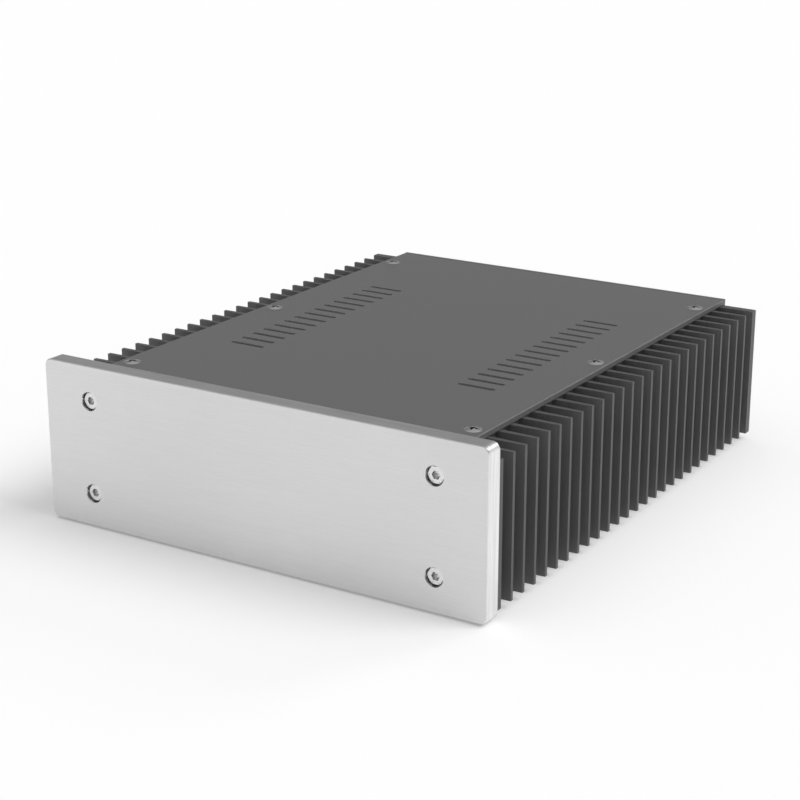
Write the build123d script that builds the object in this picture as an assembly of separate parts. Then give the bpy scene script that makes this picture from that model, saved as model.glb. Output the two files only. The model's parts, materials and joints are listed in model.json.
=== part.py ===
"""Electronics chassis: two finned heatsinks as side walls, closed by a thick front panel,
a vented top cover, a bottom plate and a rear panel. All sizes are in millimetres.

X runs to the right as seen from the front, Y from the front to the rear, Z up.
The origin is the centre of the footprint, on the surface that the chassis stands on.
"""
import os
from math import radians, sqrt, tan

from build123d import *

os.makedirs("parts", exist_ok=True)

# Body
body_length = 300.0
clear_width = 195.0
side_height = 73.0
cover_thickness = 3.0
bottom_thickness = 3.0
rear_thickness = 3.0
cover_overlap = 2.5
sheet_edge_break = 0.3

# Front panel
front_thickness = 10.0
front_overhang = 1.25
front_rise = 6.5
front_corner_radius = 4.0
front_edge_break = 0.4

# Heatsinks
base_thickness = 8.0
fin_length = 22.5
fin_pitch_wanted = 11.23
fin_tip_thickness = 2.0
fin_root_thickness = 3.1
end_fin_thickness = 5.0
fin_root_radius = 1.0

# Vent slots of the top cover
vent_count = 15
vent_pitch = 9.75
vent_length = 21.0
vent_width = 3.0
vent_row_x = 70.0

# Cut-out of the rear panel
cutout_width = 34.5
cutout_height = 39.5
cutout_corner_radius = 3.0
cutout_center_x = 69.0
cutout_sill = 20.0

# Self-tapping screws with a raised countersunk head and a cross recess
screw_diameter = 4.8
screw_length = 19.0
screw_point_length = 4.5
screw_point_width = 0.4
screw_head_diameter = 8.8
screw_head_rim = 0.1
screw_head_dome = 1.0
screw_hole_clearance = 0.2
thread_clearance = 0.05
blind_hole_extra = 1.5
recess_span = 5.2
recess_wing = 1.2
recess_floor_span = 1.8
recess_floor_wing = 0.8
recess_depth = 2.2

# Where the screws sit
screw_inset = 3.6
screw_end_inset = 24.5
rear_screw_inset = 15.0

# Front bolts: hexagon head with a hexagon socket, sunk into a counterbore
bolt_diameter = 5.0
bolt_length = 12.0
bolt_head_across_flats = 8.0
bolt_head_height = 3.5
bolt_head_chamfer_angle = 30.0
bolt_end_chamfer = 0.6
socket_across_flats = 4.0
socket_depth = 2.4
counterbore_diameter = 10.0
counterbore_depth = 5.0
bolt_hole_clearance = 0.25
low_bolt_inset = 17.7
high_bolt_inset = 12.1

# Heights above the surface: the chassis stands on the raised heads of the bottom screws
underside = screw_head_dome
side_bottom = underside + bottom_thickness
side_top = side_bottom + side_height
box_top = side_top + cover_thickness
box_height = box_top - underside
front_height = box_height + front_rise

# Widths
heatsink_depth = base_thickness + fin_length
cover_width = clear_width + 2 * (base_thickness + cover_overlap)
front_width = clear_width + 2 * (heatsink_depth + front_overhang)
screw_line = clear_width / 2 + screw_inset

# Places along Y
overall_depth = front_thickness + body_length + rear_thickness + screw_head_dome
front_face = -overall_depth / 2
body_front = front_face + front_thickness
body_rear = body_front + body_length
rear_face = body_rear + rear_thickness
body_middle = (body_front + body_rear) / 2

# Fins: a whole number of gaps fills the length between the two thicker end fins
fin_room = body_length - 2 * end_fin_thickness + fin_tip_thickness
gap_count = round(fin_room / fin_pitch_wanted)
fin_pitch = fin_room / gap_count

# Screw and bolt places
sides = {"left": -1, "right": 1}
screw_rows = {
    "front": body_front + screw_end_inset,
    "middle": body_middle,
    "rear": body_rear - screw_end_inset,
}
rear_screw_heights = {
    "low": underside + rear_screw_inset,
    "high": box_top - rear_screw_inset,
}
bolt_heights = {
    "low": underside + low_bolt_inset,
    "high": box_top - high_bolt_inset,
}

# Local +Z points out of a hole's mouth, and out of the head of the screw in it
faces_up = Rotation(0, 0, 0)
faces_down = Rotation(180, 0, 0)
faces_front = Rotation(90, 0, 0)
faces_rear = Rotation(-90, 0, 0)

below = (Align.CENTER, Align.CENTER, Align.MAX)
above = (Align.CENTER, Align.CENTER, Align.MIN)


def regular_hexagon(across_flats):
    """Hexagon with two flats parallel to local X."""
    return RegularPolygon(across_flats / sqrt(3), 6)


def broken_edges(panel, axis, size):
    """Chamfers the outline of a flat panel on both faces that are square to the axis."""
    outer_faces = panel.faces().sort_by(axis)
    edges = outer_faces[0].outer_wire().edges() + outer_faces[-1].outer_wire().edges()
    return chamfer(edges, size)


def countersunk_hole(plate_thickness):
    """Screw clearance hole through a plate, its countersink opening at the local origin."""
    hole_radius = screw_diameter / 2 + screw_hole_clearance
    mouth_radius = screw_head_diameter / 2 + screw_head_rim
    cone_depth = mouth_radius - hole_radius
    hole = Cylinder(hole_radius, plate_thickness, align=below)
    return hole + Cone(hole_radius, mouth_radius, cone_depth, align=below)


def screw_pilot_hole(plate_thickness):
    """Blind hole for the screw, its mouth at the plate's far face."""
    radius = screw_diameter / 2 + thread_clearance
    depth = screw_length - plate_thickness + blind_hole_extra
    return Pos(0, 0, -plate_thickness) * Cylinder(radius, depth, align=below)


def bolt_tapped_hole():
    """Blind hole for a front bolt, its mouth at the back of the front panel."""
    grip = front_thickness - counterbore_depth
    radius = bolt_diameter / 2 + thread_clearance
    depth = bolt_length - grip + blind_hole_extra
    return Pos(0, 0, -front_thickness) * Cylinder(radius, depth, align=below)


def heatsink():
    """Finned wall with its flat inner face on local X = 0 and its fins pointing to +X."""
    wall = Pos(heatsink_depth / 2, 0) * Rectangle(heatsink_depth, body_length)
    root_gap = fin_pitch - fin_root_thickness
    tip_gap = fin_pitch - fin_tip_thickness
    outline = Polyline(
        (base_thickness, -root_gap / 2),
        (heatsink_depth, -tip_gap / 2),
        (heatsink_depth, tip_gap / 2),
        (base_thickness, root_gap / 2),
        close=True,
    )
    gap = make_face(outline)
    gap = fillet(gap.vertices().sort_by(Axis.X)[:2], fin_root_radius)
    first_gap = -(gap_count - 1) / 2 * fin_pitch
    gaps = [Pos(0, first_gap + number * fin_pitch) * gap for number in range(gap_count)]
    return extrude(wall - gaps, side_height)


def side_wall(side):
    """Heatsink of one side, with the holes for its screws and front bolts."""
    wall = heatsink()
    if side < 0:
        wall = mirror(wall, about=Plane.YZ)
    wall = Pos(side * clear_width / 2, body_middle, side_bottom) * wall
    for y in screw_rows.values():
        wall -= Pos(side * screw_line, y, box_top) * screw_pilot_hole(cover_thickness)
        wall -= Pos(side * screw_line, y, underside) * faces_down * screw_pilot_hole(bottom_thickness)
    for z in rear_screw_heights.values():
        wall -= Pos(side * screw_line, rear_face, z) * faces_rear * screw_pilot_hole(rear_thickness)
    for z in bolt_heights.values():
        wall -= Pos(side * screw_line, front_face, z) * faces_front * bolt_tapped_hole()
    return wall


def front_panel():
    """Thick plate with rounded corners and four counterbored bolt holes."""
    outline = RectangleRounded(front_width, front_height, front_corner_radius)
    panel = extrude(Plane.XZ * outline, -front_thickness)
    panel = Pos(0, front_face, underside + front_height / 2) * panel
    panel = broken_edges(panel, Axis.Y, front_edge_break)
    bolt_hole = Cylinder(bolt_diameter / 2 + bolt_hole_clearance, front_thickness, align=below)
    counterbore = Cylinder(counterbore_diameter / 2, counterbore_depth, align=below)
    for side in sides.values():
        for z in bolt_heights.values():
            panel -= Pos(side * screw_line, front_face, z) * faces_front * (bolt_hole + counterbore)
    return panel


def flat_cover(thickness):
    """Plain rectangular sheet over both heatsinks, its inner face on local Z = 0."""
    sheet = Box(cover_width, body_length, thickness, align=above)
    return broken_edges(sheet, Axis.Z, sheet_edge_break)


def top_cover():
    """Cover with a row of vent slots near each side and six countersunk holes."""
    cover = Pos(0, body_middle, side_top) * flat_cover(cover_thickness)
    slot = extrude(SlotOverall(vent_length, vent_width), cover_thickness)
    first_slot = body_middle - (vent_count - 1) / 2 * vent_pitch
    for side in sides.values():
        for number in range(vent_count):
            cover -= Pos(side * vent_row_x, first_slot + number * vent_pitch, side_top) * slot
        for y in screw_rows.values():
            cover -= Pos(side * screw_line, y, box_top) * countersunk_hole(cover_thickness)
    return cover


def bottom_plate():
    """Plate with six holes countersunk from below."""
    plate = Pos(0, body_middle, side_bottom) * faces_down * flat_cover(bottom_thickness)
    for side in sides.values():
        for y in screw_rows.values():
            place = Pos(side * screw_line, y, underside) * faces_down
            plate -= place * countersunk_hole(bottom_thickness)
    return plate


def rear_panel():
    """Panel over the open rear end, with one cut-out and four countersunk holes."""
    panel = Box(cover_width, rear_thickness, box_height, align=(Align.CENTER, Align.MIN, Align.MIN))
    panel = Pos(0, body_rear, underside) * panel
    panel = broken_edges(panel, Axis.Y, sheet_edge_break)
    cutout = extrude(
        Plane.XZ * RectangleRounded(cutout_width, cutout_height, cutout_corner_radius),
        -rear_thickness,
    )
    cutout_center_z = underside + cutout_sill + cutout_height / 2
    panel -= Pos(cutout_center_x, body_rear, cutout_center_z) * cutout
    for side in sides.values():
        for z in rear_screw_heights.values():
            place = Pos(side * screw_line, rear_face, z) * faces_rear
            panel -= place * countersunk_hole(rear_thickness)
    return panel


def cross_recess():
    """Cross-shaped driver recess, wide at the head's top and narrow at its floor."""
    top = screw_head_dome
    wing = loft(
        [
            Pos(0, 0, -recess_depth + top) * Rectangle(recess_floor_span, recess_floor_wing),
            Pos(0, 0, top) * Rectangle(recess_span, recess_wing),
        ]
    )
    return wing + Rotation(0, 0, 90) * wing


def cover_screw():
    """Screw with the rim of its head on local Z = 0 and its point towards -Z."""
    head_radius = screw_head_diameter / 2
    shank_radius = screw_diameter / 2
    cone_end = -screw_head_rim - (head_radius - shank_radius)
    with BuildPart() as screw:
        with BuildSketch(Plane.XZ):
            with BuildLine():
                dome = TangentArc((0, screw_head_dome), (head_radius, 0), tangent=(1, 0))
                Polyline(
                    dome @ 1,
                    (head_radius, -screw_head_rim),
                    (shank_radius, cone_end),
                    (shank_radius, -screw_length + screw_point_length),
                    (screw_point_width / 2, -screw_length),
                    (0, -screw_length),
                    (0, screw_head_dome),
                )
            make_face()
        revolve(axis=Axis.Z)
    return screw.part - cross_recess()


def front_bolt():
    """Bolt with the seat of its head on local Z = 0 and its shank towards -Z."""
    corner_radius = bolt_head_across_flats / sqrt(3)
    flat_radius = bolt_head_across_flats / 2
    rise = (corner_radius - flat_radius) * tan(radians(bolt_head_chamfer_angle))
    head = extrude(regular_hexagon(bolt_head_across_flats), bolt_head_height)
    chamfered_top = Pos(0, 0, bolt_head_height - rise) * Cone(corner_radius, flat_radius, rise, align=above)
    envelope = Cylinder(corner_radius, bolt_head_height - rise, align=above) + chamfered_top
    head &= envelope
    head -= Pos(0, 0, bolt_head_height - socket_depth) * extrude(
        regular_hexagon(socket_across_flats), socket_depth
    )
    shank = Cylinder(bolt_diameter / 2, bolt_length, align=below)
    shank = chamfer(shank.edges().sort_by(Axis.Z)[0], bolt_end_chamfer)
    return head + shank


def placed_screws():
    """Every cover screw at its place, by node name."""
    screw = cover_screw()
    placed = {}
    for side_name, side in sides.items():
        x = side * screw_line
        for row, y in screw_rows.items():
            placed[f"top_screw_{side_name}_{row}"] = Pos(x, y, box_top) * faces_up * screw
            placed[f"bottom_screw_{side_name}_{row}"] = Pos(x, y, underside) * faces_down * screw
        for level, z in rear_screw_heights.items():
            placed[f"rear_screw_{side_name}_{level}"] = Pos(x, rear_face, z) * faces_rear * screw
    return placed


def placed_bolts():
    """The four front bolts, each seated on the floor of its counterbore."""
    bolt = front_bolt()
    seat = front_face + counterbore_depth
    placed = {}
    for side_name, side in sides.items():
        for level, z in bolt_heights.items():
            place = Pos(side * screw_line, seat, z) * faces_front
            placed[f"front_bolt_{side_name}_{level}"] = place * bolt
    return placed


parts = {
    "front_panel": front_panel(),
    "left_heatsink": side_wall(sides["left"]),
    "right_heatsink": side_wall(sides["right"]),
    "top_cover": top_cover(),
    "bottom_plate": bottom_plate(),
    "rear_panel": rear_panel(),
}
parts.update(placed_screws())
parts.update(placed_bolts())

for name, part in parts.items():
    export_step(part, f"parts/{name}.step")
    box = part.bounding_box()
    print(name, round(part.volume, 1), [round(v, 2) for v in (*box.min, *box.max)])
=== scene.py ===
"""Finishes the electronics chassis for display: brushed aluminium front panel, black heatsinks and
covers, threaded screws and bolts, and a plain pale studio.

All lengths are in metres. X runs to the right as seen from the front, Y from the front panel to
the rear panel, Z up, and the chassis stands on Z = 0.
"""
import json
from math import ceil, cos, pi, radians, sin

import bmesh
import bpy
from mathutils import Matrix, Vector


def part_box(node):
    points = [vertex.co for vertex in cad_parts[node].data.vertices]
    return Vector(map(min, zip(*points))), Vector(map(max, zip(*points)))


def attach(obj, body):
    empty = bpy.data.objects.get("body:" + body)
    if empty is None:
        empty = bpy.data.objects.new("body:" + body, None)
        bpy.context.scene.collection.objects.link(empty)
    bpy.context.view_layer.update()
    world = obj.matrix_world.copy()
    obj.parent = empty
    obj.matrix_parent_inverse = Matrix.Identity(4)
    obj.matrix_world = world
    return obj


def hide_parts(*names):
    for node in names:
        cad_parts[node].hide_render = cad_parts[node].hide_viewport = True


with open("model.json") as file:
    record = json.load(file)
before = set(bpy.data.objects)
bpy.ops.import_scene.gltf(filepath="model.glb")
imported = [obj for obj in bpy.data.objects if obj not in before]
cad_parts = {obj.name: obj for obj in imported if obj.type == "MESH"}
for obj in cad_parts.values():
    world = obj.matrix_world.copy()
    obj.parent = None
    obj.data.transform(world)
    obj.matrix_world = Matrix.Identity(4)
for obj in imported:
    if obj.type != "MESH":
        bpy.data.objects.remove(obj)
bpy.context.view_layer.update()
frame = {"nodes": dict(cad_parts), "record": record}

bl_info = {
    "name": "Electronics Chassis",
    "version": (1, 0, 0),
    "blender": (4, 5, 0),
    "location": "3D View > Sidebar > Chassis",
    "description": "Finishes, threaded fasteners and a studio stage for an electronics chassis",
    "category": "Object",
}

BODY = "root"
COVER_NODES = ("top_cover", "bottom_plate", "rear_panel")
HEATSINK_NODES = ("left_heatsink", "right_heatsink")
MM = 0.001


def record_colour(slot):
    """Base colour of one of the record's material slots."""
    for entry in frame["record"]["materials"]:
        if entry["slot"] == slot:
            return tuple(entry["base_color"][:3])
    raise ValueError(f"the record has no material slot named {slot}")


# Settings

def colour_setting(name, description, default):
    """Colour that a user may change."""
    return bpy.props.FloatVectorProperty(
        name=name, description=description, subtype="COLOR", size=3, min=0.0, max=1.0, default=default)


def length_setting(name, description, default):
    """Length in metres that a user may change."""
    return bpy.props.FloatProperty(
        name=name, description=description, unit="LENGTH", min=0.0, precision=5, default=default)


def share_setting(name, description, default):
    """Number from 0 to 1 that a user may change."""
    return bpy.props.FloatProperty(
        name=name, description=description, subtype="FACTOR", min=0.0, max=1.0, default=default)


class FrontPanelFinish(bpy.types.PropertyGroup):
    """Brushed, clear anodised aluminium of the front panel."""

    colour: colour_setting(
        "Aluminium", "Colour of the brushed metal", record_colour("front_aluminium"))
    roughness: share_setting(
        "Roughness", "How much the brushed metal blurs what it mirrors", 0.4)
    line_spacing: length_setting(
        "Line spacing", "Distance between two brush lines", 0.0006)
    line_length: length_setting(
        "Line length", "Usual length of one brush line", 0.014)
    line_contrast: share_setting(
        "Line contrast", "How far brush lines are lighter or darker", 0.08)
    streak_spacing: length_setting(
        "Streak spacing", "Distance between the wide streaks along the border", 0.0025)
    streak_contrast: share_setting(
        "Streak contrast", "How far those streaks are lighter or darker", 0.3)
    # Painted light: the walls of the bolt holes are made paler, against the shade inside the holes
    bore_painted_light: share_setting(
        "Bore lightness", "How much paler the turned walls of the bolt holes are", 0.35)
    # Painted light: the panel's two ends are made paler, as a light from the side would show them
    end_painted_light: share_setting(
        "End lightness", "How much paler the two ends of the panel are", 0.22)
    # Painted shade: the panel's upper and lower edges are made darker, as the dim room above them would
    # show them
    rim_painted_shade: share_setting(
        "Rim shade", "How much darker the panel's upper and lower edges are", 0.2)
    # Painted highlight along the panel's broken edges: its width and strength
    edge_width: length_setting(
        "Edge width", "Width of the bright broken edges", 0.0005)
    edge_painted_highlight: share_setting(
        "Edge lightness", "How much paler those edges are", 0.3)


class HeatsinkFinish(bpy.types.PropertyGroup):
    """Black anodised finish of the extruded heatsinks."""

    colour: colour_setting(
        "Black", "Colour of the anodised heatsinks", record_colour("heatsink_black"))
    roughness: share_setting(
        "Roughness", "How matt the heatsinks are", 0.5)
    line_spacing: length_setting(
        "Die line spacing", "Distance between the fine lines of the extrusion", 0.0009)
    line_length: length_setting(
        "Die line length", "Usual length of one line of the extrusion", 0.12)
    line_contrast: share_setting(
        "Die line contrast", "How far those lines are lighter or darker", 0.25)
    # Painted light: the sides of the fins are made paler than their tips, against the shade that falls
    # between the fins
    fin_side_painted_light: share_setting(
        "Fin side lightness", "How much paler the sides of the fins are than their tips", 0.9)
    # Painted highlight along the heatsinks' corners: its width and strength
    edge_width: length_setting(
        "Edge width", "Width of the slightly paler corners", 0.0004)
    edge_painted_highlight: share_setting(
        "Edge lightness", "How much paler those corners are", 0.3)


class CoverFinish(bpy.types.PropertyGroup):
    """Satin black finish of the top cover, the bottom plate and the rear panel."""

    colour: colour_setting(
        "Black", "Colour of the satin sheets", record_colour("cover_black"))
    roughness: share_setting(
        "Roughness", "How matt the sheets are", 0.45)
    grain_size: length_setting(
        "Grain size", "Size of the fine grain of the satin surface", 0.0007)
    grain_contrast: share_setting(
        "Grain contrast", "How far the grain is lighter or darker", 0.16)
    # Painted light: the front-facing walls of the vent slots are made paler, against their own shade
    slot_painted_light: bpy.props.FloatProperty(
        name="Slot lightness", description="How much paler the shaded walls of the vent slots are",
        min=0.0, default=1.9)
    # Painted highlight along the sheets' edges: its width and strength
    edge_width: length_setting(
        "Edge width", "Width of the slightly paler edges", 0.0004)
    edge_painted_highlight: share_setting(
        "Edge lightness", "How much paler those edges are", 0.5)


class ScrewFinish(bpy.types.PropertyGroup):
    """Zinc plated self-tapping screws."""

    colour: colour_setting(
        "Zinc", "Colour of the plated steel", record_colour("screw_steel"))
    # Painted shade: the inside of the cross recess is made dark, as shade would fall there
    recess_painted_shade: colour_setting(
        "Recess", "Colour inside the cross recess", (0.12, 0.12, 0.12))
    roughness: share_setting(
        "Roughness", "How much the plating blurs what it mirrors", 0.36)
    pitch: length_setting(
        "Thread pitch", "Distance between two turns of the thread", 0.0016)
    root_diameter: length_setting(
        "Root diameter", "Diameter of the shank between the turns", 0.0035)


class BoltFinish(bpy.types.PropertyGroup):
    """Front bolts: bright plated heads on darker threaded shanks."""

    colour: colour_setting(
        "Bright plating", "Colour of the bolt heads", record_colour("bolt_steel"))
    shank_colour: colour_setting(
        "Shank", "Colour of the threaded shank", (0.25, 0.25, 0.25))
    roughness: share_setting(
        "Roughness", "How much the plating blurs what it mirrors", 0.28)
    pitch: length_setting(
        "Thread pitch", "Distance between two turns of the thread", 0.0008)
    root_diameter: length_setting(
        "Root diameter", "Diameter of the shank between the turns", 0.0041)


class StudioStage(bpy.types.PropertyGroup):
    """Camera, floor and soft lights."""

    azimuth: bpy.props.FloatProperty(
        name="Azimuth", description="Camera angle from straight in front towards the right side",
        subtype="ANGLE", default=radians(32.1))
    elevation: bpy.props.FloatProperty(
        name="Elevation", description="Camera angle above the horizon",
        subtype="ANGLE", default=radians(18.0))
    distance: bpy.props.FloatProperty(
        name="Distance", description="From the camera to the point that it looks at",
        unit="LENGTH", min=0.1, default=1.035)
    aim: bpy.props.FloatVectorProperty(
        name="Aim", description="Point that the camera looks at",
        subtype="XYZ", unit="LENGTH", size=3, default=(-0.008, -0.012, 0.045))
    lens: bpy.props.FloatProperty(
        name="Lens", description="Focal length in millimetres on a 36 mm sensor",
        min=20.0, default=86.0)
    floor_colour: colour_setting(
        "Floor", "Colour of the floor", (0.8, 0.8, 0.8))
    key_light: bpy.props.FloatProperty(
        name="Key light", description="Strength of the wide soft light from the upper right",
        min=0.0, default=1.6)
    key_width: bpy.props.FloatProperty(
        name="Key width", description="Angle that the soft light covers, which blurs the shadows",
        subtype="ANGLE", min=0.0, default=radians(40.0))
    rim_light: bpy.props.FloatProperty(
        name="Rim light",
        description="Strength of the smaller light from behind, which edges and heads catch",
        min=0.0, default=0.35)
    wall_light: bpy.props.FloatProperty(
        name="Wall light", description="Level of the room's walls, just above the white horizon",
        min=0.0, default=0.22)
    ceiling_light: bpy.props.FloatProperty(
        name="Ceiling light", description="Level of the room straight above the chassis",
        min=0.0, default=0.75)


# The settings' names on the scene, in the order of the operators that use them
SETTINGS = {
    "front_panel_finish": FrontPanelFinish,
    "heatsink_finish": HeatsinkFinish,
    "cover_finish": CoverFinish,
    "screw_finish": ScrewFinish,
    "bolt_finish": BoltFinish,
    "studio_stage": StudioStage,
}


# Shader building blocks

# Wide lines lie under the fine ones: how many there are for each fine one, and their share
WIDE_LINE_DENSITY = 0.15
WIDE_LINE_SHARE = 0.2

# Patches of stronger and weaker edge light: how many lie along a metre, and how far they differ
EDGE_PATCHES = 150.0
EDGE_PATCH_CONTRAST = 0.8

# Least part of a face's normal along an axis that counts as facing it, about 45 degrees off
NEARLY_SQUARE = 0.7


def add_node(tree, kind, inputs=None, **settings):
    """Adds a node. Each input is a plain value, or the output socket that feeds it."""
    node = tree.nodes.new(kind)
    for name, value in settings.items():
        setattr(node, name, value)
    for name, value in (inputs or {}).items():
        if isinstance(value, bpy.types.NodeSocket):
            tree.links.new(value, node.inputs[name])
        else:
            node.inputs[name].default_value = value
    return node


def math_node(tree, operation, first, second=0.0, clamped=False):
    """Adds a Math node and returns its result."""
    node = add_node(tree, "ShaderNodeMath", {0: first, 1: second},
                    operation=operation, use_clamp=clamped)
    return node.outputs[0]


def scaled_vector(tree, vector, factor):
    """Multiplies a vector by another one, axis by axis."""
    node = add_node(tree, "ShaderNodeVectorMath", {0: vector, 1: factor}, operation="MULTIPLY")
    return node.outputs[0]


def mix_node(tree, kind, factor, first, second):
    """Mixes two floats, vectors or colours, named FLOAT, VECTOR or RGBA."""
    first_input, result = {"FLOAT": (2, 0), "VECTOR": (4, 1), "RGBA": (6, 2)}[kind]
    node = add_node(tree, "ShaderNodeMix", {0: factor, first_input: first, first_input + 1: second},
                    data_type=kind)
    return node.outputs[result]


def axis_part(tree, vector, axis):
    """One part of a vector: X, Y or Z."""
    return add_node(tree, "ShaderNodeSeparateXYZ", {0: vector}).outputs[axis]


def axis_distance(tree, position):
    """Distance of the position from its Z axis."""
    flat = scaled_vector(tree, position, (1.0, 1.0, 0.0))
    return add_node(tree, "ShaderNodeVectorMath", {0: flat}, operation="LENGTH").outputs["Value"]


def noise_node(tree, vector, detail):
    """Noise around 0.5 whose cells are one unit of the vector."""
    node = add_node(tree, "ShaderNodeTexNoise", {
        "Vector": vector, "Scale": 1.0, "Detail": detail, "Roughness": 0.55})
    return node.outputs[0]


def swing(tree, noise, contrast):
    """Turns noise around 0.5 into a factor around 1."""
    offset = math_node(tree, "SUBTRACT", noise, 0.5)
    doubled = math_node(tree, "MULTIPLY", contrast, 2.0)
    return math_node(tree, "ADD", math_node(tree, "MULTIPLY", offset, doubled), 1.0)


def start_group(name, inputs, outputs):
    """Starts a shader node group. Returns its tree and the sockets of its inputs and outputs."""
    tree = bpy.data.node_groups.new(name, "ShaderNodeTree")
    for socket, default in inputs.items():
        kind = "NodeSocketVector" if default is None else "NodeSocketFloat"
        item = tree.interface.new_socket(name=socket, in_out="INPUT", socket_type=kind)
        if default is not None:
            item.default_value = default
    for socket in outputs:
        tree.interface.new_socket(name=socket, in_out="OUTPUT", socket_type="NodeSocketFloat")
    given = tree.nodes.new("NodeGroupInput").outputs
    results = tree.nodes.new("NodeGroupOutput").inputs
    return tree, given, results


def brushed_lines_group():
    """Lines along the first axis of the position, as brushing and extruding leave them."""
    tree, given, results = start_group(
        "Brushed lines",
        {"Position": None, "Spacing": 0.0008, "Length": 0.03, "Contrast": 0.15},
        ("Shade", "Height"))
    along = math_node(tree, "DIVIDE", 1.0, given["Length"])
    across = math_node(tree, "DIVIDE", 1.0, given["Spacing"])
    layers = []
    for density, detail in ((1.0, 2.0), (WIDE_LINE_DENSITY, 1.0)):
        stretch = add_node(tree, "ShaderNodeCombineXYZ", {
            "X": math_node(tree, "MULTIPLY", along, density),
            "Y": math_node(tree, "MULTIPLY", across, density),
            "Z": math_node(tree, "MULTIPLY", across, density)})
        stretched = scaled_vector(tree, given["Position"], stretch.outputs[0])
        layers.append(noise_node(tree, stretched, detail))
    fine, wide = layers
    mixed = mix_node(tree, "FLOAT", WIDE_LINE_SHARE, fine, wide)
    tree.links.new(swing(tree, mixed, given["Contrast"]), results["Shade"])
    tree.links.new(fine, results["Height"])
    return tree


def fine_grain_group():
    """Fine even grain with wide, faint clouds, as on a satin sheet or on plating."""
    tree, given, results = start_group(
        "Fine grain",
        {"Position": None, "Size": 0.0007, "Contrast": 0.15, "Cloud Size": 0.05, "Cloud Contrast": 0.1},
        ("Shade", "Height", "Cloud"))
    fine_scale = math_node(tree, "DIVIDE", 1.0, given["Size"])
    cloud_scale = math_node(tree, "DIVIDE", 1.0, given["Cloud Size"])
    fine = noise_node(tree, scaled_vector(tree, given["Position"], fine_scale), detail=2.0)
    cloud = noise_node(tree, scaled_vector(tree, given["Position"], cloud_scale), detail=3.0)
    fine_factor = swing(tree, fine, given["Contrast"])
    cloud_factor = swing(tree, cloud, given["Cloud Contrast"])
    tree.links.new(math_node(tree, "MULTIPLY", fine_factor, cloud_factor), results["Shade"])
    tree.links.new(fine, results["Height"])
    tree.links.new(cloud, results["Cloud"])
    return tree


def edge_light_group():
    """Mask of the outer edges and corners, a little uneven along them, where a highlight is painted."""
    tree, given, results = start_group(
        "Edge light", {"Position": None, "Width": 0.0005, "Gain": 3.0}, ("Mask",))
    rounded = add_node(tree, "ShaderNodeBevel", {"Radius": given["Width"]}, samples=6)
    plain = add_node(tree, "ShaderNodeNewGeometry")
    alike = add_node(tree, "ShaderNodeVectorMath", {
        0: rounded.outputs[0], 1: plain.outputs["Normal"]}, operation="DOT_PRODUCT")
    turned = math_node(tree, "SUBTRACT", 1.0, alike.outputs["Value"])
    strong = math_node(tree, "MULTIPLY", turned, given["Gain"], clamped=True)
    scattered = scaled_vector(tree, given["Position"], (EDGE_PATCHES,) * 3)
    patches = noise_node(tree, scattered, detail=2.0)
    uneven = swing(tree, patches, EDGE_PATCH_CONTRAST)
    tree.links.new(math_node(tree, "MULTIPLY", strong, uneven, clamped=True), results["Mask"])
    return tree


def turned_rings_group():
    """Fine rings round the Z axis of the position, as a lathe leaves them on a head."""
    tree, given, results = start_group(
        "Turned rings", {"Position": None, "Spacing": 0.0003, "Contrast": 0.15}, ("Shade", "Height"))
    step = math_node(tree, "DIVIDE", axis_distance(tree, given["Position"]), given["Spacing"])
    outward = add_node(tree, "ShaderNodeCombineXYZ", {"X": step}).outputs[0]
    rings = noise_node(tree, outward, detail=2.0)
    tree.links.new(swing(tree, rings, given["Contrast"]), results["Shade"])
    tree.links.new(rings, results["Height"])
    return tree


EFFECTS = {
    "Brushed lines": brushed_lines_group,
    "Fine grain": fine_grain_group,
    "Edge light": edge_light_group,
    "Turned rings": turned_rings_group,
}


def effect(tree, name, inputs):
    """Places one of the shared effects in a material, and builds it on first use."""
    group = bpy.data.node_groups.get(name) or EFFECTS[name]()
    return add_node(tree, "ShaderNodeGroup", inputs, node_tree=group).outputs


def start_material(name, metallic):
    """New material with a Principled shader. Returns the material, its tree, shader and position."""
    material = bpy.data.materials.new(name)
    material.use_nodes = True
    tree = material.node_tree
    shader = tree.nodes["Principled BSDF"]
    shader.inputs["Metallic"].default_value = metallic
    position = tree.nodes.new("ShaderNodeTexCoord").outputs["Object"]
    return material, tree, shader, position


def reordered(tree, position, order):
    """Position with its axes in another order, such as ZXY."""
    split = add_node(tree, "ShaderNodeSeparateXYZ", {0: position})
    joined = add_node(tree, "ShaderNodeCombineXYZ", {
        target: split.outputs[source] for target, source in zip("XYZ", order)})
    return joined.outputs[0]


def round_the_border(tree, position):
    """Position whose X runs round the panel's border, over its rounded corners too."""
    split = add_node(tree, "ShaderNodeSeparateXYZ", {0: position})
    along = math_node(tree, "ADD", split.outputs["X"], split.outputs["Z"])
    return add_node(tree, "ShaderNodeCombineXYZ", {"X": along, "Y": split.outputs["Y"]}).outputs[0]


def flat_normal(tree):
    """Normal of the face itself, without smooth shading."""
    return add_node(tree, "ShaderNodeNewGeometry").outputs["True Normal"]


def faces_along(tree, axis):
    """Mask of the faces that are nearly square to an axis, on both sides of the piece."""
    part = math_node(tree, "ABSOLUTE", axis_part(tree, flat_normal(tree), axis))
    return math_node(tree, "GREATER_THAN", part, NEARLY_SQUARE)


def facing(tree, axis):
    """How squarely a face looks along an axis, from 0 to 1, which changes smoothly over a bend."""
    normal = add_node(tree, "ShaderNodeNewGeometry").outputs["Normal"]
    part = axis_part(tree, normal, axis)
    return math_node(tree, "MULTIPLY", part, part)


def shaded_colour(tree, colour, *factors):
    """Colour made lighter or darker by one or more factors."""
    for factor in factors:
        colour = scaled_vector(tree, colour, factor)
    return colour


def lightened(tree, mask, gain):
    """Factor that is 1 off the mask and 1 + gain on it."""
    return math_node(tree, "ADD", math_node(tree, "MULTIPLY", mask, gain), 1.0)


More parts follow.
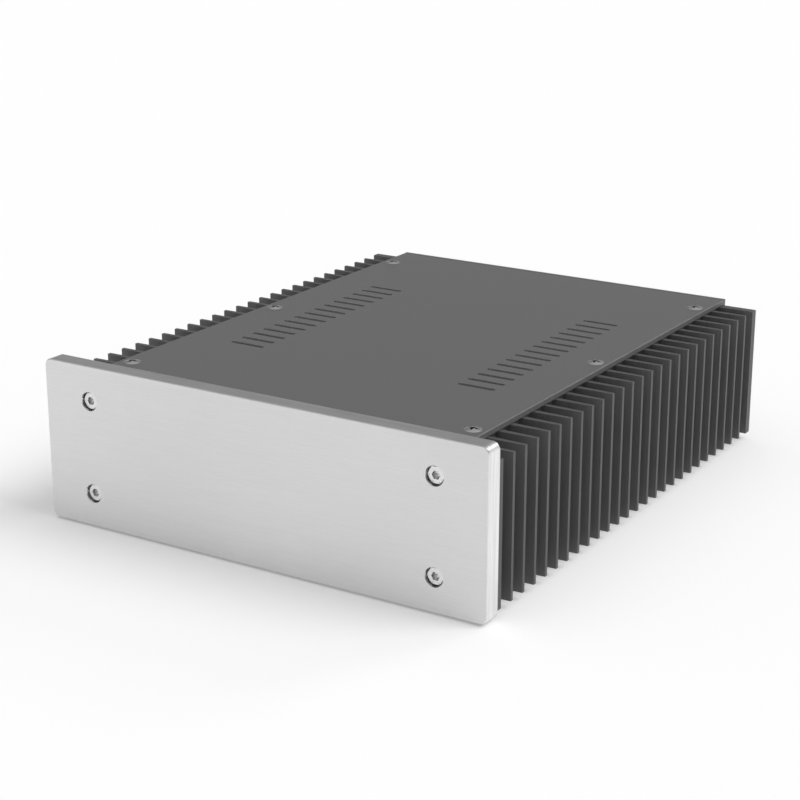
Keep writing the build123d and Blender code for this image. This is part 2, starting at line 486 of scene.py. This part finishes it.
def within(tree, value, low, high):
    """Mask of the values between low and high."""
    above = math_node(tree, "GREATER_THAN", value, low)
    under = math_node(tree, "LESS_THAN", value, high)
    return math_node(tree, "MULTIPLY", above, under)


def rough_around(tree, middle, noise, spread):
    """Roughness that wanders round a middle value with noise around 0.5."""
    offset = math_node(tree, "MULTIPLY", math_node(tree, "SUBTRACT", noise, 0.5), spread)
    return math_node(tree, "ADD", offset, middle, clamped=True)


def bumped(tree, height, depth):
    """Normal of a surface whose height varies by about the given depth."""
    node = add_node(tree, "ShaderNodeBump", {"Height": height, "Strength": 1.0, "Distance": depth})
    return node.outputs[0]


def feed(tree, shader, **sources):
    """Connects outputs to the shader's inputs, named in snake case."""
    for name, source in sources.items():
        tree.links.new(source, shader.inputs[name.replace("_", " ").title()])


# Materials

# The front panel's own edges lie within this of its outline, and its bolt holes further in
BORDER = 5.0 * MM

# Length of a streak on the panel's border, counted in streak spacings
STREAK_STRETCH = 20.0

# The vent slots lie within this distance of the middle, and the front edges of the sheets beyond
SLOT_ZONE = 140.0 * MM

# A screw head's dome radius, its recess's reach, and levels just under the recess's floor and rim
DOME_RADIUS = 10.2 * MM
RECESS_REACH = 2.7 * MM
RECESS_FLOOR = -1.5 * MM
RECESS_RIM = 0.85 * MM

# Level just below a bolt's head, where its shank begins
SHANK_TOP = -0.05 * MM


def bore_mask(tree, position):
    """Walls of the front panel's bolt holes, which lie away from its border, where light is painted."""
    split = add_node(tree, "ShaderNodeSeparateXYZ", {0: position})
    side = math_node(tree, "ABSOLUTE", split.outputs["X"])
    low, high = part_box("front_panel")
    inner_width = math_node(tree, "LESS_THAN", side, high.x - BORDER)
    inner_height = within(tree, split.outputs["Z"], low.z + BORDER, high.z - BORDER)
    inner = math_node(tree, "MULTIPLY", inner_width, inner_height)
    walls = math_node(tree, "SUBTRACT", 1.0, faces_along(tree, "Y"))
    return math_node(tree, "MULTIPLY", inner, walls)


def brushed_aluminium(finish):
    """Brushed along the panel's face, and round its border."""
    material, tree, shader, position = start_material("brushed_aluminium", metallic=1.0)
    border = round_the_border(tree, position)
    place = mix_node(tree, "VECTOR", faces_along(tree, "Y"), border, reordered(tree, position, "XZY"))
    lines = effect(tree, "Brushed lines", {
        "Position": place, "Spacing": finish.line_spacing, "Length": finish.line_length,
        "Contrast": finish.line_contrast})
    streaks = effect(tree, "Brushed lines", {
        "Position": border, "Spacing": finish.streak_spacing,
        "Length": STREAK_STRETCH * finish.streak_spacing, "Contrast": finish.streak_contrast})["Shade"]
    streaks = mix_node(tree, "FLOAT", faces_along(tree, "Y"), streaks, 1.0)
    clouds = effect(tree, "Fine grain", {
        "Position": position, "Size": 0.0004, "Contrast": 0.04,
        "Cloud Size": 0.09, "Cloud Contrast": 0.05})
    edges = effect(tree, "Edge light", {"Position": position, "Width": finish.edge_width})["Mask"]
    feed(tree, shader,
         base_color=shaded_colour(tree, tuple(finish.colour), lines["Shade"], clouds["Shade"], streaks,
                                  # Painted light on the panel's two ends
                                  lightened(tree, facing(tree, "X"), finish.end_painted_light),
                                  # Painted shade on the panel's upper and lower edges
                                  lightened(tree, facing(tree, "Z"), -finish.rim_painted_shade),
                                  # Painted light on the walls of the bolt holes
                                  lightened(tree, bore_mask(tree, position), finish.bore_painted_light),
                                  # Painted highlight along the broken edges
                                  lightened(tree, edges, finish.edge_painted_highlight)),
         roughness=rough_around(tree, finish.roughness, lines["Height"], spread=0.2),
         normal=bumped(tree, lines["Height"], depth=0.04 * MM))
    return material


def anodised_heatsink(finish):
    """Lines of the extrusion run up the fins, and saw marks run across the cut ends."""
    material, tree, shader, position = start_material("black_anodised_heatsink", metallic=0.0)
    place = mix_node(tree, "VECTOR", faces_along(tree, "Z"), reordered(tree, position, "ZXY"), position)
    lines = effect(tree, "Brushed lines", {
        "Position": place, "Spacing": finish.line_spacing, "Length": finish.line_length,
        "Contrast": finish.line_contrast})
    clouds = effect(tree, "Fine grain", {
        "Position": position, "Size": 0.0006, "Contrast": 0.1,
        "Cloud Size": 0.04, "Cloud Contrast": 0.12})
    edges = effect(tree, "Edge light", {"Position": position, "Width": finish.edge_width})["Mask"]
    feed(tree, shader,
         base_color=shaded_colour(tree, tuple(finish.colour), lines["Shade"], clouds["Shade"],
                                  # Painted light on the sides of the fins
                                  lightened(tree, faces_along(tree, "Y"), finish.fin_side_painted_light),
                                  # Painted highlight along the corners
                                  lightened(tree, edges, finish.edge_painted_highlight)),
         roughness=rough_around(tree, finish.roughness, clouds["Cloud"], spread=0.2),
         normal=bumped(tree, lines["Height"], depth=0.05 * MM))
    return material


def slot_mask(tree, position):
    """Walls of the vent slots that face the front, and so lie in their own shade."""
    to_front = math_node(tree, "LESS_THAN", axis_part(tree, flat_normal(tree), "Y"), -NEARLY_SQUARE)
    in_zone = within(tree, axis_part(tree, position, "Y"), -SLOT_ZONE, SLOT_ZONE)
    return math_node(tree, "MULTIPLY", to_front, in_zone)


def satin_sheet(finish):
    """Even fine grain, a little smoother in places, painted light on the shaded walls of the vent
    slots, and slightly paler edges as a painted highlight.
    """
    material, tree, shader, position = start_material("satin_black_sheet", metallic=0.0)
    grain = effect(tree, "Fine grain", {
        "Position": position, "Size": finish.grain_size, "Contrast": finish.grain_contrast,
        "Cloud Size": 0.06, "Cloud Contrast": 0.04})
    edges = effect(tree, "Edge light", {"Position": position, "Width": finish.edge_width})["Mask"]
    feed(tree, shader,
         base_color=shaded_colour(tree, tuple(finish.colour), grain["Shade"],
                                  # Painted light on the shaded walls of the vent slots
                                  lightened(tree, slot_mask(tree, position), finish.slot_painted_light),
                                  # Painted highlight along the edges
                                  lightened(tree, edges, finish.edge_painted_highlight)),
         roughness=rough_around(tree, finish.roughness, grain["Cloud"], spread=0.08),
         normal=bumped(tree, grain["Height"], depth=0.03 * MM))
    return material


def plated_head(name, finish, dark_colour, dark_mask):
    """Plated metal with turning marks round its axis and a painted highlight on its edges, dark where
    the mask says.
    """
    material, tree, shader, position = start_material(name, metallic=1.0)
    rings = effect(tree, "Turned rings", {"Position": position, "Spacing": 0.0003, "Contrast": 0.12})
    grain = effect(tree, "Fine grain", {
        "Position": position, "Size": 0.0003, "Contrast": 0.15,
        "Cloud Size": 0.003, "Cloud Contrast": 0.15})
    # Mask for a painted highlight along the fastener's edges
    edges = effect(tree, "Edge light", {"Position": position, "Width": 0.00015})["Mask"]
    bright = shaded_colour(tree, tuple(finish.colour), rings["Shade"], grain["Shade"],
                           lightened(tree, edges, gain=0.3))
    dark = shaded_colour(tree, tuple(dark_colour), grain["Shade"])
    feed(tree, shader,
         base_color=mix_node(tree, "RGBA", dark_mask(tree, position), bright, dark),
         roughness=rough_around(tree, finish.roughness, grain["Cloud"], spread=0.25),
         normal=bumped(tree, rings["Height"], depth=0.01 * MM))
    return material


def recess_mask(tree, position):
    """Inside of a screw's cross recess: below the head's dome and near the axis, where shade is
    painted.
    """
    radius = axis_distance(tree, position)
    squared = math_node(tree, "MULTIPLY", radius, radius)
    fall_of_dome = math_node(tree, "MULTIPLY", squared, 1 / (2 * DOME_RADIUS))
    level = math_node(tree, "ADD", fall_of_dome, axis_part(tree, position, "Z"))
    near_axis = math_node(tree, "LESS_THAN", radius, RECESS_REACH)
    return math_node(tree, "MULTIPLY", within(tree, level, RECESS_FLOOR, RECESS_RIM), near_axis)


def shank_mask(tree, position):
    """Threaded shank of a bolt, below the seat of its head."""
    return math_node(tree, "LESS_THAN", axis_part(tree, position, "Z"), SHANK_TOP)


# Threaded fasteners

# Steps round the axis in one turn of a thread
TURN_STEPS = 24

# Corners of one turn of a thread: how far down the pitch each lies, and how far out to the crest
THREAD_PROFILE = ((0.0, 0.0), (0.42, 0.0), (0.66, 1.0), (0.76, 1.0))
CORNERS = len(THREAD_PROFILE)

# Turns that the columns hold beyond the thread's length, so that each reaches both ends
SPARE_TURNS = 3

# Most that the root may be of the crest's radius, which keeps a thread on the screw's point
ROOT_SHARE = 0.8

# Turns over which a thread runs out into the end of its fastener
RUN_OUT = 0.4

# Space between a head and the first ring of its thread
NECK_SPACE = 0.2 * MM

# Points nearer than this are made one where a head is cut and where a thread ends
SMALLEST_STEP = 0.03 * MM

# Points of the frame's own meshes nearer than this are the same one
SAME_PLACE = 1e-7

# Edges of a fastener that turn more than this stay sharp
SHARP_ANGLE = radians(25)


def smooth_step(value):
    """0 below 0, 1 above 1, and a smooth rise between."""
    value = min(max(value, 0.0), 1.0)
    return value * value * (3 - 2 * value)


def thread_columns(top, bottom, pitch, root, outer, end_radius):
    """Points of a helical thread, one column for each step round the axis, from top to bottom."""
    rows = CORNERS * (ceil((top - bottom) / pitch) + SPARE_TURNS)
    columns = []
    for step in range(TURN_STEPS):
        angle = 2 * pi * step / TURN_STEPS
        column = []
        for row in range(rows + CORNERS):
            turn, part = divmod(row, CORNERS)
            share, rise = THREAD_PROFILE[part]
            z = top + pitch * (1 - turn - share - step / TURN_STEPS)
            if z > top - SMALLEST_STEP:
                z = top
            elif z < bottom + SMALLEST_STEP:
                z = bottom
            base = min(root, ROOT_SHARE * outer(z))
            radius = base + (outer(z) - base) * rise
            radius = outer(top) + (radius - outer(top)) * smooth_step((top - z) / pitch)
            radius = end_radius + (radius - end_radius) * smooth_step((z - bottom) / (RUN_OUT * pitch))
            column.append((radius * cos(angle), radius * sin(angle), z))
        columns.append(column)
    return columns


def add_thread(mesh, top, bottom, pitch, root, outer, end_radius):
    """Adds a helical thread down the Z axis, closed at its lower end.

    outer(z) is the radius that the crest reaches. Returns the edges of the open ring at the top.
    """
    columns = []
    for points in thread_columns(top, bottom, pitch, root, outer, end_radius):
        column = []
        for number, point in enumerate(points):
            if number and point == points[number - 1]:
                column.append(column[-1])
            else:
                column.append(mesh.verts.new(point))
        columns.append(column)
    top_ring = [column[0] for column in columns]
    bottom_ring = [column[-1] for column in columns]
    columns.append(columns[0][CORNERS:])
    for left, right in zip(columns, columns[1:]):
        for row in range(len(columns[-1]) - 1):
            loop = (left[row], left[row + 1], right[row + 1], right[row])
            face = list(dict.fromkeys(loop))
            if len(face) > 2:
                mesh.faces.new(face)
    mesh.faces.new(bottom_ring)
    return [mesh.edges.get(pair) for pair in zip(top_ring, top_ring[1:] + top_ring[:1])]


def fastener_place(node, out_of_head, seat):
    """Matrix from a fastener's own frame, whose +Z points out of its head, to the chassis."""
    low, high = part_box(node)
    place = (low + high) / 2
    turn = {"+Z": 0, "-Z": 180, "-Y": 90, "+Y": -90}[out_of_head]
    place["XYZ".index(out_of_head[1])] = seat
    return Matrix.Translation(place) @ Matrix.Rotation(radians(turn), 4, "X")


def threaded_mesh(name, node, place, neck, end, pitch, root, outer, end_radius):
    """A fastener in its own frame: the plain one's head, cut off at its neck, on a threaded shank."""
    mesh = bmesh.new()
    mesh.from_mesh(frame["nodes"][node].data)
    mesh.transform(place.inverted())
    bmesh.ops.remove_doubles(mesh, verts=mesh.verts, dist=SAME_PLACE)
    everything = mesh.verts[:] + mesh.edges[:] + mesh.faces[:]
    bmesh.ops.bisect_plane(mesh, geom=everything, dist=SAME_PLACE,
                           plane_co=(0, 0, neck), plane_no=(0, 0, 1), clear_inner=True)
    cut = [vertex for vertex in mesh.verts if vertex.is_boundary]
    bmesh.ops.remove_doubles(mesh, verts=cut, dist=SMALLEST_STEP)
    head_ring = [edge for edge in mesh.edges if edge.is_boundary]
    thread_ring = add_thread(mesh, neck - NECK_SPACE, end, pitch, root, outer, end_radius)
    bmesh.ops.bridge_loops(mesh, edges=head_ring + thread_ring)
    bmesh.ops.recalc_face_normals(mesh, faces=mesh.faces)
    if any(not edge.is_manifold for edge in mesh.edges):
        raise RuntimeError(f"the mesh {name} is not closed")
    data = bpy.data.meshes.new(name)
    mesh.to_mesh(data)
    mesh.free()
    data.shade_smooth()
    data.set_sharp_from_angle(angle=SHARP_ANGLE)
    return data


def place_fasteners(data, places):
    """Puts threaded fasteners of one mesh where the plain ones of the frame are."""
    for node, place in places.items():
        piece = bpy.data.objects.new(f"{node}_threaded", data)
        bpy.context.scene.collection.objects.link(piece)
        piece.matrix_world = place
        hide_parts(node)
        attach(piece, BODY)


# Operators

def dress(nodes, material):
    """Gives nodes of the frame a finished material."""
    for name in nodes:
        node = frame["nodes"][name]
        if not node.material_slots:
            raise RuntimeError(f"{name} has no material slot")
        for slot in node.material_slots:
            slot.material = material


class CHASSIS_OT_front_panel(bpy.types.Operator):
    """Finish the thick front panel in brushed aluminium"""

    bl_idname = "chassis.front_panel"
    bl_label = "Finish front panel"

    def execute(self, context):
        dress(("front_panel",), brushed_aluminium(context.scene.front_panel_finish))
        return {"FINISHED"}


class CHASSIS_OT_heatsinks(bpy.types.Operator):
    """Finish both finned heatsinks in black anodising"""

    bl_idname = "chassis.heatsinks"
    bl_label = "Finish heatsinks"

    def execute(self, context):
        dress(HEATSINK_NODES, anodised_heatsink(context.scene.heatsink_finish))
        return {"FINISHED"}


class CHASSIS_OT_covers(bpy.types.Operator):
    """Finish the top cover, the bottom plate and the rear panel in satin black"""

    bl_idname = "chassis.covers"
    bl_label = "Finish covers"

    def execute(self, context):
        dress(COVER_NODES, satin_sheet(context.scene.cover_finish))
        return {"FINISHED"}


class CHASSIS_OT_screws(bpy.types.Operator):
    """Put threaded self-tapping screws in place of the plain ones"""

    bl_idname = "chassis.screws"
    bl_label = "Thread the screws"

    # Sizes of the plain screws, and the level at which their heads are cut off
    shank_radius = 2.4 * MM
    length = 19.0 * MM
    point_length = 4.5 * MM
    point_radius = 0.2 * MM
    neck = -2.3 * MM

    def crest(self, z):
        """Radius that the thread reaches: a cylinder that ends in a point."""
        along_point = (z + self.length) / self.point_length
        taper = self.point_radius + (self.shank_radius - self.point_radius) * along_point
        return min(self.shank_radius, taper)

    def execute(self, context):
        finish = context.scene.screw_finish
        faces = {
            "top": ("+Z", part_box("top_cover")[1].z),
            "bottom": ("-Z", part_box("bottom_plate")[0].z),
            "rear": ("+Y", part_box("rear_panel")[1].y),
        }
        places = {node: fastener_place(node, *faces[node.split("_")[0]])
                  for node in sorted(frame["nodes"]) if "_screw_" in node}
        pattern = min(places)
        data = threaded_mesh("threaded_screw", pattern, places[pattern], self.neck, -self.length,
                             finish.pitch, finish.root_diameter / 2, self.crest, self.point_radius)
        # The cross recess gets painted shade
        data.materials.append(
            plated_head("zinc_plated_screw", finish, finish.recess_painted_shade, recess_mask))
        place_fasteners(data, places)
        return {"FINISHED"}


class CHASSIS_OT_bolts(bpy.types.Operator):
    """Put threaded bolts in place of the plain ones of the front panel"""

    bl_idname = "chassis.bolts"
    bl_label = "Thread the bolts"

    # Sizes of the plain bolts and their counterbores, and the level at which their heads are cut off
    shank_radius = 2.5 * MM
    length = 12.0 * MM
    end_chamfer = 0.6 * MM
    counterbore_depth = 5.0 * MM
    neck = -0.8 * MM

    def crest(self, z):
        """Radius that the thread reaches: a cylinder with a chamfered end."""
        return min(self.shank_radius, self.shank_radius - self.end_chamfer + z + self.length)

    def execute(self, context):
        finish = context.scene.bolt_finish
        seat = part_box("front_panel")[0].y + self.counterbore_depth
        places = {node: fastener_place(node, "-Y", seat)
                  for node in sorted(frame["nodes"]) if "_bolt_" in node}
        pattern = min(places)
        data = threaded_mesh("threaded_bolt", pattern, places[pattern], self.neck, -self.length,
                             finish.pitch, finish.root_diameter / 2, self.crest,
                             self.shank_radius - self.end_chamfer)
        data.materials.append(plated_head("bright_bolt", finish, finish.shank_colour, shank_mask))
        place_fasteners(data, places)
        return {"FINISHED"}


# Stage

# Reach of the floor from the middle
FLOOR_REACH = 20.0

# The camera's sensor in millimetres, and the nearest and farthest that it sees
SENSOR_WIDTH = 36.0
NEAREST_SEEN = 0.01
FARTHEST_SEEN = 100.0

# Sines of the angles above the horizon between which its white fades into the room's walls
HORIZON_END = 0.08
WALL_START = 0.22

# Sines of the angles between which the walls fade into the ceiling
WALL_END = 0.4
CEILING_START = 0.85

# Azimuth and elevation of the lights, in degrees
KEY_PLACE = (108.0, 48.0)
RIM_PLACE = (159.0, 30.0)


def floor_material(colour):
    """Pale floor that keeps the shadow, and looks white wherever it is seen or mirrored."""
    material = bpy.data.materials.new("pale_floor")
    material.use_nodes = True
    tree = material.node_tree
    shader = tree.nodes["Principled BSDF"]
    shader.inputs["Base Color"].default_value = (*colour, 1.0)
    shader.inputs["Roughness"].default_value = 0.9
    shader.inputs["Specular IOR Level"].default_value = 0.0
    shader.inputs["Emission Color"].default_value = (1.0, 1.0, 1.0, 1.0)
    path = tree.nodes.new("ShaderNodeLightPath").outputs
    seen = math_node(tree, "MAXIMUM", path["Is Camera Ray"], path["Is Glossy Ray"])
    seen = math_node(tree, "MAXIMUM", seen, path["Is Transmission Ray"])
    lift = math_node(tree, "MULTIPLY", seen, 1.0 - max(colour))
    tree.links.new(lift, shader.inputs["Emission Strength"])
    return material


def add_floor(colour):
    """Wide flat floor under the chassis."""
    mesh = bmesh.new()
    bmesh.ops.create_grid(mesh, x_segments=4, y_segments=4, size=FLOOR_REACH)
    data = bpy.data.meshes.new("floor")
    mesh.to_mesh(data)
    mesh.free()
    data.materials.append(floor_material(colour))
    floor = bpy.data.objects.new("floor", data)
    bpy.context.scene.collection.objects.link(floor)


def add_room(wall_level, ceiling_level):
    """Soft light from all round: a white horizon, darker walls and a bright ceiling."""
    world = bpy.data.worlds.new("studio_room")
    bpy.context.scene.world = world
    world.use_nodes = True
    tree = world.node_tree
    direction = tree.nodes.new("ShaderNodeTexCoord").outputs["Generated"]
    height = axis_part(tree, direction, "Z")
    wall = add_node(
        tree, "ShaderNodeMapRange",
        {"Value": height, "From Min": HORIZON_END, "From Max": WALL_START,
         "To Min": 1.0, "To Max": wall_level},
        interpolation_type="SMOOTHSTEP").outputs[0]
    ceiling_share = add_node(
        tree, "ShaderNodeMapRange",
        {"Value": height, "From Min": WALL_END, "From Max": CEILING_START},
        interpolation_type="SMOOTHSTEP").outputs[0]
    level = mix_node(tree, "FLOAT", ceiling_share, wall, ceiling_level)
    background = tree.nodes["Background"]
    background.inputs["Color"].default_value = (1.0, 1.0, 1.0, 1.0)
    tree.links.new(level, background.inputs["Strength"])


def direction_to(azimuth, elevation):
    """Unit vector to a place round the chassis: azimuth 0 is in front, and it grows to the right."""
    return Vector((sin(azimuth) * cos(elevation), -cos(azimuth) * cos(elevation), sin(elevation)))


def add_soft_light(name, place, strength, width):
    """Wide, even light from a place round the chassis, given by its azimuth and elevation."""
    lamp = bpy.data.lights.new(name, "SUN")
    lamp.energy = strength
    lamp.angle = width
    light = bpy.data.objects.new(name, lamp)
    bpy.context.scene.collection.objects.link(light)
    outward = direction_to(*map(radians, place))
    light.location = outward
    light.rotation_euler = outward.to_track_quat("Z", "Y").to_euler()


def add_camera(stage):
    """Camera at the photograph's viewing angle."""
    lens = bpy.data.cameras.new("camera")
    lens.lens = stage.lens
    lens.sensor_width = SENSOR_WIDTH
    lens.clip_start = NEAREST_SEEN
    lens.clip_end = FARTHEST_SEEN
    camera = bpy.data.objects.new("camera", lens)
    bpy.context.scene.collection.objects.link(camera)
    outward = direction_to(stage.azimuth, stage.elevation)
    camera.location = Vector(stage.aim) + outward * stage.distance
    camera.rotation_euler = outward.to_track_quat("Z", "Y").to_euler()
    bpy.context.scene.camera = camera


class CHASSIS_OT_stage(bpy.types.Operator):
    """Set up the pale floor, the soft lights and the camera"""

    bl_idname = "chassis.stage"
    bl_label = "Set up the studio"

    def execute(self, context):
        stage = context.scene.studio_stage
        add_floor(tuple(stage.floor_colour))
        add_room(stage.wall_light, stage.ceiling_light)
        add_soft_light("key_light", KEY_PLACE, stage.key_light, stage.key_width)
        add_soft_light("rim_light", RIM_PLACE, stage.rim_light, stage.key_width / 2)
        add_camera(stage)
        context.scene.view_settings.view_transform = "Standard"
        return {"FINISHED"}


# Add-on

OPERATORS = (
    CHASSIS_OT_front_panel,
    CHASSIS_OT_heatsinks,
    CHASSIS_OT_covers,
    CHASSIS_OT_screws,
    CHASSIS_OT_bolts,
    CHASSIS_OT_stage,
)


class CHASSIS_PT_sidebar(bpy.types.Panel):
    """Settings and steps of the electronics chassis"""

    bl_idname = "CHASSIS_PT_sidebar"
    bl_label = "Electronics Chassis"
    bl_space_type = "VIEW_3D"
    bl_region_type = "UI"
    bl_category = "Chassis"

    def draw(self, context):
        for (name, group), operator in zip(SETTINGS.items(), OPERATORS):
            box = self.layout.box()
            settings = getattr(context.scene, name)
            for setting in group.__annotations__:
                box.prop(settings, setting)
            box.operator(operator.bl_idname)


CLASSES = (*SETTINGS.values(), *OPERATORS, CHASSIS_PT_sidebar)


def register():
    """Adds the settings, steps and panel to Blender."""
    for entry in CLASSES:
        bpy.utils.register_class(entry)
    for name, group in SETTINGS.items():
        setattr(bpy.types.Scene, name, bpy.props.PointerProperty(type=group))


def unregister():
    """Takes the settings, steps and panel out of Blender again."""
    for name in SETTINGS:
        delattr(bpy.types.Scene, name)
    for entry in reversed(CLASSES):
        bpy.utils.unregister_class(entry)


def main():
    """Runs every step in order."""
    register()
    bpy.ops.chassis.front_panel()
    bpy.ops.chassis.heatsinks()
    bpy.ops.chassis.covers()
    bpy.ops.chassis.screws()
    bpy.ops.chassis.bolts()
    bpy.ops.chassis.stage()


if __name__ == "__main__":
    main()
